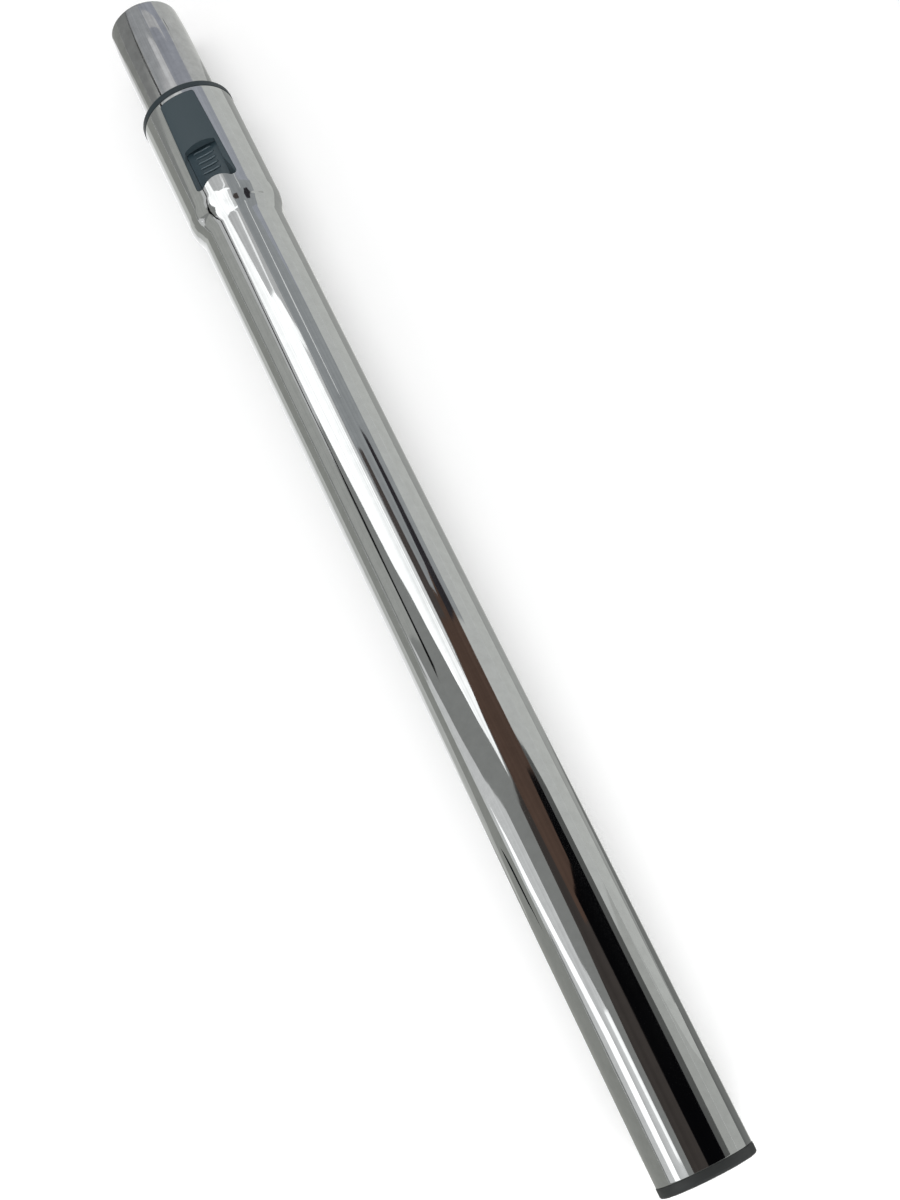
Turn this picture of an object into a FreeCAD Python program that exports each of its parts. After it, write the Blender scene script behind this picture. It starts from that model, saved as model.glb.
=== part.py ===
"""Telescopic vacuum wand: a chromed outer tube with a flared bell, and a chromed inner tube that slides in it.

A ribbed slider under the window plate lifts a bolt out of the inner tube's notches. Millimetres, +Z up.
The wand lies along Y with the tip towards +Y and the slider on top. While it is drawn, y = 0 is the face
of the end ring and z = 0 is the tube's axis. At the end it is set down with its box centred on the origin.
"""

import FreeCAD
import Part
import math
import os

V = FreeCAD.Vector
ACROSS = V(1, 0, 0)
LONG = V(0, 1, 0)
UP = V(0, 0, 1)

# Clearances
SEAT_GAP = 0.1            # between pieces that are fixed to each other
RUN_GAP = 0.2             # between pieces that slide on each other
SLIP_GAP = 0.1            # under the flat slider
FREE_GAP = 0.35           # round what moves without being guided
PUSH_GAP = 0.1            # between the handle socket and a spigot pushed into it
CUT_OVER = 1.0            # how far a cutting shape runs past what it cuts

# Inner tube
SPIGOT_OD = 35.0          # push-fit end for the floor head
SPIGOT_LENGTH = 37.3      # straight stretch of the push-fit end
SIZING_STEP = 0.25        # how much the push-fit end is drawn in from the running surface
SWAGE_LENGTH = 18.7       # tapered tip
SWAGE_IN = 0.8            # how much the tip is drawn in
INNER_WALL = 0.65
GROOVE_WIDTH = 17.0
GROOVE_DEPTH = 2.4
NOTCH_PITCH = 30.0
NOTCH_COUNT = 13
NOTCH_WIDTH = 7.0
NOTCH_LENGTH = 4.4
END_BAND = 28.0           # plain stretch between the hidden end and the groove
STOP_GAP = 1.0            # from the last notch's place to the groove's end stop

# Bush and seal on the hidden end of the inner tube
BUSH_WALL = 0.65
BUSH_GRIP = 14.0          # stretch of the bush round the tube
HEAD_LENGTH = 7.0         # stretch of the bush past the tube's end
HEAD_WALL = 2.1
SEAL_WIDTH = 3.0
SEAL_DEPTH = 1.2
PARKING_GAP = 8.0         # from the bush to the socket when the wand is short

# Outer tube
TUBE_WALL = 0.8
BELL_STEP = 2.65          # how much the bell's radius stands out from the tube's
NECK_LENGTH = 13.4        # S-bend between the tube and the bell
BELL_SHOULDER = 4.0       # from the S-bend to the window
WINDOW_LENGTH = 50.3
WINDOW_LOW_WIDTH = 20.4
WINDOW_TOP_WIDTH = 17.2
WINDOW_LOW_ROUND = 2.4
WINDOW_TOP_ROUND = 1.2
TONGUE_WIDTH = 14.0       # rounded tongue of metal that bows into the window's lower edge
TONGUE_BOW = 2.6
BRIDGE = 1.7              # metal left between the window and the bell's end

# Guide sleeve with its collar
SLEEVE_SETBACK = 4.0      # from the start of the S-bend to the sleeve
COLLAR = 3.3
COLLAR_OVERHANG = 0.15
COLLAR_CHAMFER = 0.7
CHANNEL_WEB = 0.6         # key left under the slider's channel
LEDGE_WEB = 0.5           # sleeve left under the plate's seat, beside the key
KEY_SETBACK = 1.4         # from the bell's end to the end of the key

# Slider
SLIDER_WIDTH = 15.0
SLIDER_THICK = 1.1        # in the middle of its hollow pad
PAD_HOLLOW = 1.3          # how far the pad's sides rise above its middle
SLIDER_TAIL = 5.5         # stretch under the tongue
TRAVEL = 4.0
RIB_COUNT = 5
RIB_PITCH = 2.95
RIB_WIDTH = 9.2
RIB_HEIGHT = 0.5
RIB_RADIUS = 0.6
RIB_START = 9.0           # from the window's lower edge to the first rib
CHEEK_THICK = 2.2
SLOT_WALL = 0.3           # left above and under the inclined slots
CROSSBAR = 2.0            # bar that the spring pushes on
BULKHEAD_WIDTH = 11.0     # wall that closes the gap under the tongue
BULKHEAD_THICK = 2.0
BULKHEAD_SETBACK = 0.7    # from the slider's lower end

# Window plate
PLATE_SINK = 0.05         # how far the plate's face lies under the bell's surface
SCOOP_LENGTH = 21.2       # from the window's lower edge to the corners of the scoop's arch
SCOOP_CROWN = 0.8         # how far the arch rises above its corners
SCOOP_LEAN = 0.2          # how far the arch's wall leans back
SCOOP_LIP = 0.3           # how far the plate overlaps the pad's sides
SCOOP_TOP_WIDTH = 14.6    # between the arch's corners, at the height of the plate's edge
SCOOP_LOW_WIDTH = 19.2    # at the window's lower edge, at that height
END_SKIRT = 1.7

# Locking bolt, its cross pin and the slider's spring
BOLT_WIDTH = 5.0
BOLT_THICK = 3.0
BOLT_CAP = 0.5            # bolt above the cross pin
TOOTH_REACH = 0.15        # tooth past the notched wall
TOOTH_CHAMFER = 0.3
LIFT = 1.0
PIN_DIA = 0.8
PIN_PLAY = 0.15           # round the pin in its slots
SPRING_OD = 2.6
SPRING_WIRE = 0.4
SPRING_TURNS = 5
SPRING_LENGTH = 11.0
SPRING_SEAT = 3.0         # spigot inside the coil
COIL_STEPS = 10           # straight steps for each turn of the coil
WIRE_SIDES = 4

# Socket bush
SOCKET_DEPTH = 38.0
END_RING = 4.0
RING_OVERHANG = 0.2
RING_CHAMFER = 0.9
LEAD_IN = 0.8

# Radii, from the inside out
R_SPIGOT = SPIGOT_OD / 2
R_SOCKET = R_SPIGOT + PUSH_GAP
R_RUN = R_SPIGOT + SIZING_STEP
R_TIP = R_SPIGOT - SWAGE_IN
R_BUSH = R_RUN + SEAT_GAP + BUSH_WALL
R_BORE = R_BUSH + RUN_GAP
R_TUBE = R_BORE + TUBE_WALL
R_BELL = R_TUBE + BELL_STEP
R_COLLAR = R_BELL + COLLAR_OVERHANG
R_GUIDE = R_RUN + RUN_GAP
ABOVE = R_BELL + CUT_OVER

# Places along the wand
STROKE = (NOTCH_COUNT - 1) * NOTCH_PITCH
Y_SOCKET = END_RING + SOCKET_DEPTH
Y_HEAD = Y_SOCKET + PARKING_GAP
Y_INNER = Y_HEAD + HEAD_LENGTH
Y_GROOVE = Y_INNER + END_BAND
Y_SLEEVE = Y_GROOVE + STROKE + STOP_GAP
Y_NECK = Y_SLEEVE - SLEEVE_SETBACK
Y_BELL = Y_NECK + NECK_LENGTH
Y_WINDOW = Y_BELL + BELL_SHOULDER
Y_BRIDGE = Y_WINDOW + WINDOW_LENGTH
Y_RIM = Y_BRIDGE + BRIDGE
Y_KEY = Y_RIM - KEY_SETBACK
Y_COLLAR = Y_RIM + COLLAR
Y_SWAGE = Y_COLLAR + SPIGOT_LENGTH
Y_TIP = Y_SWAGE + SWAGE_LENGTH
Y_SPRING = Y_BRIDGE - END_SKIRT
Y_SLIDER = Y_SPRING - SPRING_LENGTH
Y_LOCK = Y_SLIDER - CROSSBAR - RUN_GAP - BOLT_THICK / 2
Y_CHEEK = Y_LOCK - BOLT_THICK / 2 - RUN_GAP - TRAVEL
Y_TAIL = Y_WINDOW - SLIDER_TAIL

# Half widths of the lock
KEY_HALF = GROOVE_WIDTH / 2 - RUN_GAP
SLIDER_HALF = SLIDER_WIDTH / 2
CHANNEL_HALF = SLIDER_HALF + RUN_GAP
BOLT_HALF = BOLT_WIDTH / 2
CHEEK_IN = BOLT_HALF + RUN_GAP
CHEEK_OUT = CHEEK_IN + CHEEK_THICK
SLOT_HALF = PIN_DIA / 2 + PIN_PLAY

# Heights of the lock, from the groove up
Z_GROOVE = R_RUN - GROOVE_DEPTH
Z_TOOTH = Z_GROOVE - INNER_WALL - TOOTH_REACH
Z_KEY = Z_GROOVE + RUN_GAP
Z_CHANNEL = Z_KEY + CHANNEL_WEB
Z_LEDGE = math.sqrt(R_GUIDE**2 - KEY_HALF**2) + LEDGE_WEB
Z_SLIDER = Z_CHANNEL + SLIP_GAP
Z_PAD = Z_SLIDER + SLIDER_THICK
Z_SIDES = Z_PAD + PAD_HOLLOW
Z_RIBS = Z_PAD + RIB_HEIGHT
Z_PIN = Z_SLIDER + SLOT_WALL + SLOT_HALF
Z_CHEEK = Z_PIN + LIFT + SLOT_HALF + SLOT_WALL
Z_SPRING = Z_CHANNEL + RUN_GAP + SPRING_OD / 2
Z_EDGE = math.sqrt(R_BELL**2 - WINDOW_LOW_WIDTH**2 / 4) - PLATE_SINK


def at(y, r):
    """A point of a profile that is turned about the wand's axis."""
    return V(0, y, r)


def turned(edges):
    """The solid that a closed profile makes when it is turned about the wand's axis."""
    return Part.Face(Part.Wire(edges)).revolve(V(0, 0, 0), LONG, 360)


def lathe(points):
    """A turned solid with a straight-sided profile, given as (y, r) pairs."""
    corners = [at(y, r) for y, r in points]
    return turned(Part.makePolygon(corners + corners[:1]).Edges)


def rod(radius, start, end):
    """A cylinder on the wand's axis."""
    return Part.makeCylinder(radius, end - start, at(start, 0), LONG)


def block(half_x, y, z):
    """A box that is centred across the wand, from y[0] to y[1] and from z[0] to z[1]."""
    return Part.makeBox(2 * half_x, y[1] - y[0], z[1] - z[0], V(-half_x, y[0], z[0]))


def prism(corners, along):
    """A solid that a straight-sided outline makes when it is pushed along a direction."""
    return Part.Face(Part.makePolygon(corners + corners[:1])).extrude(along)


def crosswise(radius, half, y, z):
    """A cylinder that lies across the wand."""
    return Part.makeCylinder(radius, 2 * half, V(-half, y, z), ACROSS)


def bell_skin():
    """The outer tube's turned form, with an S-bend between the tube and its bell."""
    middle = (Y_NECK + Y_BELL) / 2
    neck = Part.BezierCurve()
    neck.setPoles([at(Y_NECK, R_TUBE), at(middle, R_TUBE), at(middle, R_BELL), at(Y_BELL, R_BELL)])
    before = Part.makePolygon([at(END_RING, 0), at(END_RING, R_TUBE), at(Y_NECK, R_TUBE)])
    after = Part.makePolygon([at(Y_BELL, R_BELL), at(Y_RIM, R_BELL), at(Y_RIM, 0), at(END_RING, 0)])
    return turned(before.Edges + [neck.toShape()] + after.Edges)


def bell_hollow():
    """The space inside the outer tube, where the bend's two arcs run together to one cone."""
    bell = R_BELL - TUBE_WALL
    start, end = END_RING - CUT_OVER, Y_RIM + CUT_OVER
    foot = Y_NECK + NECK_LENGTH / 4 + TUBE_WALL
    head = Y_BELL - NECK_LENGTH / 4 + TUBE_WALL
    return lathe([(start, 0), (start, R_BORE), (foot, R_BORE), (head, bell), (end, bell), (end, 0)])


def upright_edges(shape, y):
    """The edges of a prism that stand upright at a place along the wand."""
    found = []
    for edge in shape.Edges:
        ends = [v.Point for v in edge.Vertexes]
        level = len(ends) == 2 and abs(ends[0].y - y) < 1e-6 and abs(ends[1].y - y) < 1e-6
        if level and abs(ends[0].x - ends[1].x) < 1e-6:
            found.append(edge)
    return found


def window_prism(inset, low, high):
    """The window's outline, round the tongue and drawn in by inset, as a prism."""
    y = (Y_WINDOW + inset, Y_BRIDGE - inset)
    wide = (WINDOW_LOW_WIDTH / 2 - inset, WINDOW_TOP_WIDTH / 2 - inset)
    corners = [V(-wide[0], y[0], low), V(wide[0], y[0], low), V(wide[1], y[1], low), V(-wide[1], y[1], low)]
    window = prism(corners, UP * (high - low))
    window = window.makeFillet(WINDOW_LOW_ROUND, upright_edges(window, y[0]))
    window = window.makeFillet(WINDOW_TOP_ROUND, upright_edges(window, y[1]))
    bow_radius = (TONGUE_WIDTH**2 / 4 + TONGUE_BOW**2) / (2 * TONGUE_BOW)
    centre = V(0, Y_WINDOW + TONGUE_BOW - bow_radius, low)
    return window.cut(Part.makeCylinder(bow_radius + inset, high - low, centre))


def outer_tube():
    """Drawn steel tube with its bell and the window that is punched in it."""
    return bell_skin().cut(bell_hollow()).cut(window_prism(0, 0, ABOVE))


def inner_skin():
    """The inner tube's turned form, with the push-fit end drawn in a little and its tip curved in."""
    bow = (SWAGE_LENGTH**2 + SWAGE_IN**2) / (2 * SWAGE_IN)
    half_turn = math.asin(SWAGE_LENGTH / bow) / 2
    middle = at(Y_SWAGE + bow * math.sin(half_turn), R_SPIGOT - bow * (1 - math.cos(half_turn)))
    swage = Part.Arc(at(Y_SWAGE, R_SPIGOT), middle, at(Y_TIP, R_TIP)).toShape()
    sizing = [at(Y_COLLAR, R_RUN), at(Y_COLLAR + SIZING_STEP, R_SPIGOT), at(Y_SWAGE, R_SPIGOT)]
    before = Part.makePolygon([at(Y_INNER, 0), at(Y_INNER, R_RUN)] + sizing)
    close = Part.makePolygon([at(Y_TIP, R_TIP), at(Y_TIP, 0), at(Y_INNER, 0)])
    return turned(before.Edges + [swage] + close.Edges)


def inner_hollow():
    """The space inside the inner tube, before the keyway is rolled into it."""
    run, spigot, tip = R_RUN - INNER_WALL, R_SPIGOT - INNER_WALL, R_TIP - INNER_WALL
    start, end = Y_INNER - CUT_OVER, Y_TIP + CUT_OVER
    straight = [(start, 0), (start, run), (Y_COLLAR, run), (Y_COLLAR + SIZING_STEP, spigot)]
    return lathe(straight + [(Y_SWAGE, spigot), (Y_TIP, tip), (end, tip), (end, 0)])


def inner_tube():
    """Drawn steel tube with a keyway rolled along it and notches punched in the keyway's floor."""
    groove_end = Y_KEY + STOP_GAP
    groove = block(GROOVE_WIDTH / 2, (Y_GROOVE, groove_end), (Z_GROOVE, ABOVE))
    inner_half = GROOVE_WIDTH / 2 + INNER_WALL
    inner_span = (Y_GROOVE - INNER_WALL, groove_end + INNER_WALL)
    floor = block(inner_half, inner_span, (Z_GROOVE - INNER_WALL, ABOVE))
    tube = inner_skin().cut(groove).cut(inner_hollow().cut(floor))
    half = NOTCH_LENGTH / 2
    for n in range(NOTCH_COUNT):
        y = Y_LOCK - n * NOTCH_PITCH
        tube = tube.cut(block(NOTCH_WIDTH / 2, (y - half, y + half), (0, ABOVE)))
    return tube


def guide_sleeve():
    """Moulded sleeve in the bell: collar, bore, key for the groove, slider channel and seat for the plate."""
    nose = R_BORE - SEAT_GAP
    body = R_BELL - TUBE_WALL - SEAT_GAP
    face = R_COLLAR - COLLAR_CHAMFER
    inside = [(Y_SLEEVE, 0), (Y_SLEEVE, nose), (Y_BELL, body), (Y_RIM, body)]
    collar = [(Y_RIM, R_COLLAR), (Y_COLLAR - COLLAR_CHAMFER, R_COLLAR), (Y_COLLAR, face), (Y_COLLAR, 0)]
    key = block(KEY_HALF, (Y_SLEEVE, Y_KEY), (Z_KEY, ABOVE))
    sleeve = lathe(inside + collar).cut(rod(R_GUIDE, Y_SLEEVE - CUT_OVER, Y_COLLAR + CUT_OVER).cut(key))
    sleeve = sleeve.cut(block(CHANNEL_HALF, (Y_SLEEVE - CUT_OVER, Y_SPRING), (Z_CHANNEL, ABOVE)))
    sleeve = sleeve.cut(window_prism(0, Z_LEDGE, ABOVE))
    half = BOLT_THICK / 2 + RUN_GAP
    return sleeve.cut(block(CHEEK_IN, (Y_LOCK - half, Y_LOCK + half), (0, ABOVE))).removeSplitter()


def scoop_outline(z):
    """The thumb scoop's outline at a height: straight sides that spread downwards, under an arch."""
    rise = (z - Z_SIDES) / (Z_EDGE - Z_SIDES)
    floor = SLIDER_HALF - SCOOP_LIP
    top = floor + (SCOOP_TOP_WIDTH / 2 - floor) * rise
    low = floor + (SCOOP_LOW_WIDTH / 2 - floor) * rise
    corner = Y_WINDOW + SCOOP_LENGTH - SCOOP_LEAN * (1 - rise)
    start = Y_WINDOW - CUT_OVER
    left = Part.makePolygon([V(-low, start, z), V(-top, corner, z)])
    arch = Part.Arc(V(-top, corner, z), V(0, corner + SCOOP_CROWN, z), V(top, corner, z)).toShape()
    right = Part.makePolygon([V(top, corner, z), V(low, start, z), V(-low, start, z)])
    return Part.Wire(left.Edges + [arch] + right.Edges)


def window_plate():
    """Moulded plate flush in the window, with the thumb scoop over the slider and a room for the lock under it."""
    plate = window_prism(SEAT_GAP, Z_LEDGE, ABOVE).common(rod(R_BELL - PLATE_SINK, Y_WINDOW, Y_BRIDGE))
    start = Y_WINDOW - CUT_OVER
    slider_top = max(Z_SIDES, Z_RIBS) + RUN_GAP
    plate = plate.cut(block(CHANNEL_HALF, (start, Y_SPRING), (0, slider_top)))
    plate = plate.cut(block(CHEEK_OUT + RUN_GAP, (Y_CHEEK - RUN_GAP, Y_SPRING), (0, Z_CHEEK + RUN_GAP)))
    return plate.cut(Part.makeLoft([scoop_outline(Z_SIDES), scoop_outline(ABOVE)], True, True))


def inclined_slots():
    """The slots in the cheeks that lift the cross pin as the slider moves."""
    half = CHEEK_OUT + CUT_OVER
    low = V(-half, Y_LOCK, Z_PIN)
    high = V(-half, Y_LOCK - TRAVEL, Z_PIN + LIFT)
    side = (high - low).cross(ACROSS).normalize() * SLOT_HALF
    run = prism([low + side, high + side, high - side, low - side], ACROSS * (2 * half))
    return run.fuse([crosswise(SLOT_HALF, half, p.y, p.z) for p in (low, high)])


def thumb_pad():
    """The slider's bar, hollowed along its length for the thumb."""
    bow = (SLIDER_HALF**2 + PAD_HOLLOW**2) / (2 * PAD_HOLLOW)
    hollow = Part.makeCylinder(bow, Y_SLIDER - Y_TAIL, V(0, Y_TAIL, Z_PAD + bow), LONG)
    return block(SLIDER_HALF, (Y_TAIL, Y_SLIDER), (Z_SLIDER, Z_SIDES)).cut(hollow)


def slide_button():
    """Moulded slider: ribs for the thumb, a wall under the tongue, slotted cheeks round the bolt and a crossbar."""
    button = thumb_pad().fuse(block(CHEEK_OUT, (Y_CHEEK, Y_SLIDER), (Z_SLIDER, Z_CHEEK)))
    button = button.cut(block(CHEEK_IN, (Y_CHEEK, Y_SLIDER - CROSSBAR), (0, ABOVE))).cut(inclined_slots())
    for n in range(RIB_COUNT):
        y = Y_WINDOW + RIB_START + n * RIB_PITCH
        button = button.fuse(crosswise(RIB_RADIUS, RIB_WIDTH / 2, y, Z_RIBS - RIB_RADIUS))
    start = Y_TAIL + BULKHEAD_SETBACK
    span = (start, start + BULKHEAD_THICK)
    arch = rod(R_BELL - TUBE_WALL - FREE_GAP, *span)
    button = button.fuse(arch.common(block(BULKHEAD_WIDTH / 2, span, (Z_SLIDER, ABOVE))))
    spigot_radius = SPRING_OD / 2 - SPRING_WIRE - RUN_GAP
    spigot = Part.makeCylinder(spigot_radius, SPRING_SEAT, V(0, Y_SLIDER, Z_SPRING), LONG)
    return button.fuse(spigot).removeSplitter()


def locking_bolt():
    """Steel bolt whose tooth drops into a notch, bored for its cross pin."""
    y = (Y_LOCK - BOLT_THICK / 2, Y_LOCK + BOLT_THICK / 2)
    bolt = block(BOLT_HALF, y, (Z_TOOTH, Z_PIN + PIN_DIA / 2 + BOLT_CAP))
    tooth_edges = [e for e in bolt.Edges if e.CenterOfMass.z < Z_TOOTH + 0.01]
    bolt = bolt.makeChamfer(TOOTH_CHAMFER, tooth_edges)
    return bolt.cut(crosswise(PIN_DIA / 2 + SEAT_GAP / 2, BOLT_WIDTH, Y_LOCK, Z_PIN))


def cross_pin():
    """Steel pin through the bolt, with its ends in the slider's slots."""
    return crosswise(PIN_DIA / 2, CHEEK_OUT, Y_LOCK, Z_PIN)


def button_spring():
    """Coil spring between the slider's crossbar and the plate's end skirt, wound in short straight steps."""
    radius = (SPRING_OD - SPRING_WIRE) / 2
    start = Y_SLIDER + SEAT_GAP + SPRING_WIRE / 2
    room = SPRING_LENGTH - SPRING_WIRE - 2 * SEAT_GAP
    steps = SPRING_TURNS * COIL_STEPS
    path = []
    for n in range(steps + 1):
        turn = 2 * math.pi * n / COIL_STEPS
        path.append(V(radius * math.sin(turn), start + room * n / steps, Z_SPRING + radius * math.cos(turn)))
    section = []
    for n in range(WIRE_SIDES):
        turn = 2 * math.pi * n / WIRE_SIDES
        section.append(path[0] + (LONG * math.cos(turn) + UP * math.sin(turn)) * (SPRING_WIRE / 2))
    outline = Part.makePolygon(section + section[:1])
    mitred = 1
    return Part.makePolygon(path).makePipeShell([outline], True, False, mitred)


def socket_bush():
    """Moulded bush in the tube's end: the visible ring and the push-fit bore for the handle."""
    ring = R_TUBE + RING_OVERHANG
    bush = R_BORE - SEAT_GAP
    face = [(0, R_SOCKET + LEAD_IN), (0, ring - RING_CHAMFER), (RING_CHAMFER, ring), (END_RING, ring)]
    inside = [(END_RING, bush), (Y_SOCKET, bush), (Y_SOCKET, R_SOCKET), (LEAD_IN, R_SOCKET)]
    return lathe(face + inside)


def inner_end_bush():
    """Moulded bush on the inner tube's hidden end, which runs in the outer tube and carries the seal."""
    head = R_BUSH - HEAD_WALL
    grip = R_RUN + SEAT_GAP
    end = Y_INNER + BUSH_GRIP
    start = Y_HEAD + (HEAD_LENGTH - SEAL_WIDTH) / 2
    floor = R_BUSH - SEAL_DEPTH
    groove = [(start, R_BUSH), (start, floor), (start + SEAL_WIDTH, floor), (start + SEAL_WIDTH, R_BUSH)]
    outside = [(Y_HEAD, head), (Y_HEAD, R_BUSH)] + groove + [(end, R_BUSH)]
    return lathe(outside + [(end, grip), (Y_INNER, grip), (Y_INNER, head)])


def piston_seal():
    """Rubber ring in the bush's groove, which leans on the outer tube."""
    start = Y_HEAD + (HEAD_LENGTH - SEAL_WIDTH) / 2
    low, high = start + SEAT_GAP, start + SEAL_WIDTH - SEAT_GAP
    root = R_BUSH - SEAL_DEPTH + SEAT_GAP
    lip = R_BORE - SEAT_GAP
    return lathe([(low, root), (low, lip), (high, lip), (high, root)])


PIECES = {
    "outer_tube": outer_tube,
    "inner_tube": inner_tube,
    "guide_sleeve": guide_sleeve,
    "window_plate": window_plate,
    "slide_button": slide_button,
    "locking_bolt": locking_bolt,
    "cross_pin": cross_pin,
    "button_spring": button_spring,
    "socket_bush": socket_bush,
    "inner_end_bush": inner_end_bush,
    "piston_seal": piston_seal,
}

os.makedirs("parts", exist_ok=True)
SET_DOWN = V(0, -Y_TIP / 2, R_COLLAR)
for name, make in PIECES.items():
    piece = make()
    piece.translate(SET_DOWN)
    piece.exportStep("parts/" + name + ".step")
    box = piece.BoundBox
    print(name, piece.ShapeType, len(piece.Solids), piece.isValid(), round(piece.Volume, 2),
          [round(v, 2) for v in (box.XMin, box.XMax, box.YMin, box.YMax, box.ZMin, box.ZMax)])
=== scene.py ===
"""Looks of the telescopic vacuum wand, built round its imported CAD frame.

Pieces are drawn in millimetres as the tube maker draws them: y = 0 is the face of the end ring, z = 0 is the
tube's axis and +Z points out through the thumb slider. to_row() then sets a piece down in the shared frame.
"""

import math
import bmesh
import bpy
from mathutils import Matrix, Vector


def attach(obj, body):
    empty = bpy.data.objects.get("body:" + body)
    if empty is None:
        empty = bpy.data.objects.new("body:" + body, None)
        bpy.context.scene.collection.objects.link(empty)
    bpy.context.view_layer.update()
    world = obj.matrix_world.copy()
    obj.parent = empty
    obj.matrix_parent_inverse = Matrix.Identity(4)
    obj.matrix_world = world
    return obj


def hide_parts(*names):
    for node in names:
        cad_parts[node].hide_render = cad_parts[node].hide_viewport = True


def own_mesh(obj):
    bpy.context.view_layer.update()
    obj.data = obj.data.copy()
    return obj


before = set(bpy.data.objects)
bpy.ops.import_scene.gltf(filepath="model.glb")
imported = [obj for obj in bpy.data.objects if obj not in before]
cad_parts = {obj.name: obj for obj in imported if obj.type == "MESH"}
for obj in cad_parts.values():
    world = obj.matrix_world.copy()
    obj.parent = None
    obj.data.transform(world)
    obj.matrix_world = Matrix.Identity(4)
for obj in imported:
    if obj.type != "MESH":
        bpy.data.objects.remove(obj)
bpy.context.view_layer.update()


# Outer tube. A drawn steel tube whose end is swaged out to a bell, with a window punched in the bell for the
# thumb slider and a rounded tongue of metal left in the window's lower edge. Polished and chromium plated.
TUBE_RADIUS = 19.5
BELL_RADIUS = 22.15
TUBE_WALL = 0.8
TUBE_START = 4.0
BELL_END = 511.4
NECK_FOOT = 445.48        # where the neck's slope would meet the tube
NECK_HEAD = 451.92        # where it would meet the bell
NECK_ROUND = 3.42         # how far each bend reaches from there
NECK_STEPS = 14
NECK_BORE_STEPS = 8
TUBE_EDGE = 0.25
TUBE_EDGE_STEPS = 3
HOLD = 0.6                # a ring this far beside each bend keeps the long walls' shading straight
ROUND_STEPS = 192
WINDOW_LOW = 459.4
WINDOW_HIGH = 509.7
WINDOW_LOW_HALF = 10.2
WINDOW_HIGH_HALF = 8.6
WINDOW_LOW_ROUND = 2.4
WINDOW_HIGH_ROUND = 1.2
WINDOW_LOW_STEPS = 6
WINDOW_HIGH_STEPS = 5
TONGUE_HALF = 7.0
TONGUE_BOW = 2.6
TONGUE_STEPS = 96
AXIS_HEIGHT = 22.3        # the axis lies this far over the shared frame's floor
HALF_LENGTH = 285.35      # the end ring's face lies this far from the shared frame's middle
PAST = 2.0                # how far a cutter reaches past what it cuts
NEAR = 1e-3               # corners this close count as the same place
NEAR_RADIUS = 1e-2
MERGE = 1e-4
CREASE = 32               # degrees; only edges sharper than this stay crisp


def spun(profile):
    """A closed profile of (y, radius) corners spun once round the wand's axis."""
    bm = bmesh.new()
    corners = [bm.verts.new((0, y, r)) for y, r in profile]
    edges = [bm.edges.new((a, b)) for a, b in zip(corners, corners[1:] + corners[:1])]
    bmesh.ops.spin(bm, geom=corners + edges, cent=(0, 0, 0), axis=(0, 1, 0), dvec=(0, 0, 0),
                   angle=math.tau, steps=ROUND_STEPS, use_merge=True, use_duplicate=False)
    bmesh.ops.remove_doubles(bm, verts=bm.verts[:], dist=MERGE)
    bmesh.ops.recalc_face_normals(bm, faces=bm.faces[:])
    return bm


def rounded(bm, edges, reach, segments):
    """Rounds some edges of a piece."""
    bmesh.ops.bevel(bm, geom=edges, offset=reach, offset_type="OFFSET", affect="EDGES", segments=segments,
                    profile=0.5, material=-1, clamp_overlap=True)


def round_rings(bm, rings, reach, segments):
    """Rounds the ring edges of a spun piece that lie at the given (y, radius) corners."""
    found = []
    for edge in bm.edges:
        for y, r in rings:
            if all(abs(v.co.y - y) < NEAR and abs(math.hypot(v.co.x, v.co.z) - r) < NEAR_RADIUS
                   for v in edge.verts):
                found.append(edge)
    rounded(bm, found, reach, segments)


def grow(bm, face, way):
    """Pushes a flat face out along a way into a closed form."""
    grown = bmesh.ops.extrude_face_region(bm, geom=[face])
    ends = [v for v in grown["geom"] if isinstance(v, bmesh.types.BMVert)]
    bmesh.ops.translate(bm, verts=ends, vec=way)
    bmesh.ops.recalc_face_normals(bm, faces=bm.faces[:])


def slab(outline, low, high):
    """A flat outline of (x, y) corners pushed up from z = low to z = high."""
    bm = bmesh.new()
    grow(bm, bm.faces.new([bm.verts.new((x, y, low)) for x, y in outline]), (0, 0, high - low))
    return bm


def round_uprights(bm, y, reach, segments):
    """Rounds the upright edges of a slab at one place along the wand."""
    found = []
    for edge in bm.edges:
        a, b = edge.verts
        if abs(a.co.y - y) < NEAR and abs(b.co.y - y) < NEAR and abs(a.co.x - b.co.x) < NEAR:
            found.append(edge)
    rounded(bm, found, reach, segments)


def shaped(bm, tool, operation):
    """One closed form cut by, joined with or kept inside another."""
    objects = []
    for form in (bm, tool):
        mesh = bpy.data.meshes.new("form")
        form.to_mesh(mesh)
        form.free()
        objects.append(bpy.data.objects.new("form", mesh))
        bpy.context.scene.collection.objects.link(objects[-1])
    modifier = objects[0].modifiers.new("form", "BOOLEAN")
    modifier.object = objects[1]
    modifier.operation = operation
    modifier.solver = "EXACT"
    bpy.context.view_layer.update()
    seen = objects[0].evaluated_get(bpy.context.evaluated_depsgraph_get())
    result = bmesh.new()
    result.from_mesh(seen.to_mesh())
    seen.to_mesh_clear()
    for obj in objects:
        mesh = obj.data
        bpy.data.objects.remove(obj)
        bpy.data.meshes.remove(mesh)
    bmesh.ops.remove_doubles(result, verts=result.verts[:], dist=MERGE)
    return result


def to_row(name, bm):
    """Sets a drawn piece down in the shared frame, in metres, smooth apart from its creases."""
    mesh = bpy.data.meshes.new(name)
    bm.to_mesh(mesh)
    bm.free()
    down = Matrix.Translation((0, -HALF_LENGTH / 1000, AXIS_HEIGHT / 1000))
    mesh.transform(down @ Matrix.Scale(0.001, 4))
    mesh.shade_smooth()
    mesh.set_sharp_from_angle(angle=math.radians(CREASE))
    piece = bpy.data.objects.new(name, mesh)
    bpy.context.scene.collection.objects.link(piece)
    return piece


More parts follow.
